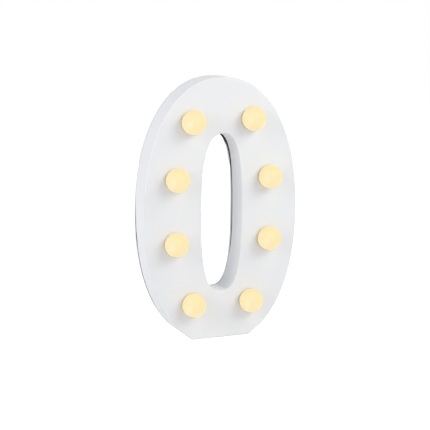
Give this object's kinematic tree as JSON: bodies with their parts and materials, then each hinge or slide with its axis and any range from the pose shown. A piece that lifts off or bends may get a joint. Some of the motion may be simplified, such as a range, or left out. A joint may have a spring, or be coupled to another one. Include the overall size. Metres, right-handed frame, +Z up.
{
  "type": "light up marquee number",
  "caption": "White plastic marquee number nought with frosted bulbs on its face, a flat foot to stand on and a screwed back cover with a cell compartment, slide switch and keyhole",
  "frame": {"origin": "The middle of the flat foot that the number stands on, halfway between its front face and its back.", "axes": "+Z up, +X to the right seen from the front, and +Y from the front face to the back, so the bulbs face -Y."},
  "size_m": [0.1376, 0.0396, 0.2205],
  "materials": {
    "shell_plastic": "white moulded plastic with a satin face",
    "cover_plastic": "white moulded plastic with a fine matt texture",
    "base_plastic": "white moulded plastic",
    "frosted_cap": "frosted translucent plastic, lit warm white from inside",
    "lamp_epoxy": "clear epoxy lamp, lit warm white",
    "cell_sleeve": "plain blue metallic sleeve on a round cell",
    "nickel_plate": "nickel-plated sheet",
    "spring_steel": "nickel-plated spring wire",
    "screw_steel": "zinc-plated steel",
    "tinned_steel": "tinned sheet steel",
    "phenolic_board": "brown phenolic moulding",
    "black_plastic": "black moulded plastic",
    "red_insulation": "red flexible insulation",
    "black_insulation": "black flexible insulation"
  },
  "bodies": {
    "body": {"front_shell": "shell_plastic", "back_cover": "cover_plastic", "bulb_cap_1": "frosted_cap", "bulb_cap_2": "frosted_cap", "bulb_cap_3": "frosted_cap", "bulb_cap_4": "frosted_cap", "bulb_cap_5": "frosted_cap", "bulb_cap_6": "frosted_cap", "bulb_cap_7": "frosted_cap", "bulb_cap_8": "frosted_cap", "bulb_base_1": "base_plastic", "bulb_base_2": "base_plastic", "bulb_base_3": "base_plastic", "bulb_base_4": "base_plastic", "bulb_base_5": "base_plastic", "bulb_base_6": "base_plastic", "bulb_base_7": "base_plastic", "bulb_base_8": "base_plastic", "led_1": "lamp_epoxy", "led_2": "lamp_epoxy", "led_3": "lamp_epoxy", "led_4": "lamp_epoxy", "led_5": "lamp_epoxy", "led_6": "lamp_epoxy", "led_7": "lamp_epoxy", "led_8": "lamp_epoxy", "battery_1": "cell_sleeve", "battery_2": "cell_sleeve", "contact_plate_positive": "nickel_plate", "contact_plate_negative": "nickel_plate", "contact_plate_link": "nickel_plate", "switch_terminal_1": "nickel_plate", "switch_terminal_2": "nickel_plate", "switch_terminal_3": "nickel_plate", "contact_spring_negative": "spring_steel", "contact_spring_link": "spring_steel", "cover_screw_1": "screw_steel", "cover_screw_2": "screw_steel", "cover_screw_3": "screw_steel", "cover_screw_4": "screw_steel", "cover_screw_5": "screw_steel", "cover_screw_6": "screw_steel", "switch_screw_1": "screw_steel", "switch_screw_2": "screw_steel", "switch_frame": "tinned_steel", "switch_base": "phenolic_board", "wire_positive": "red_insulation", "wire_switched": "red_insulation", "wire_negative": "black_insulation"},
    "door": {"battery_door": "cover_plastic"},
    "knob": {"switch_knob": "black_plastic"}
  },
  "joints": [
    {"name": "door_tip", "type": "hinge", "parent": "body", "child": "door", "pos_m": [0.04315, 0.0125, 0.07655], "axis": [-1, 0, 0], "range_deg": [0, 75]},
    {"name": "switch_slide", "type": "slide", "parent": "body", "child": "knob", "axis": [0, 0, 1], "range_m": [-0.0035, 0]}
  ]
}
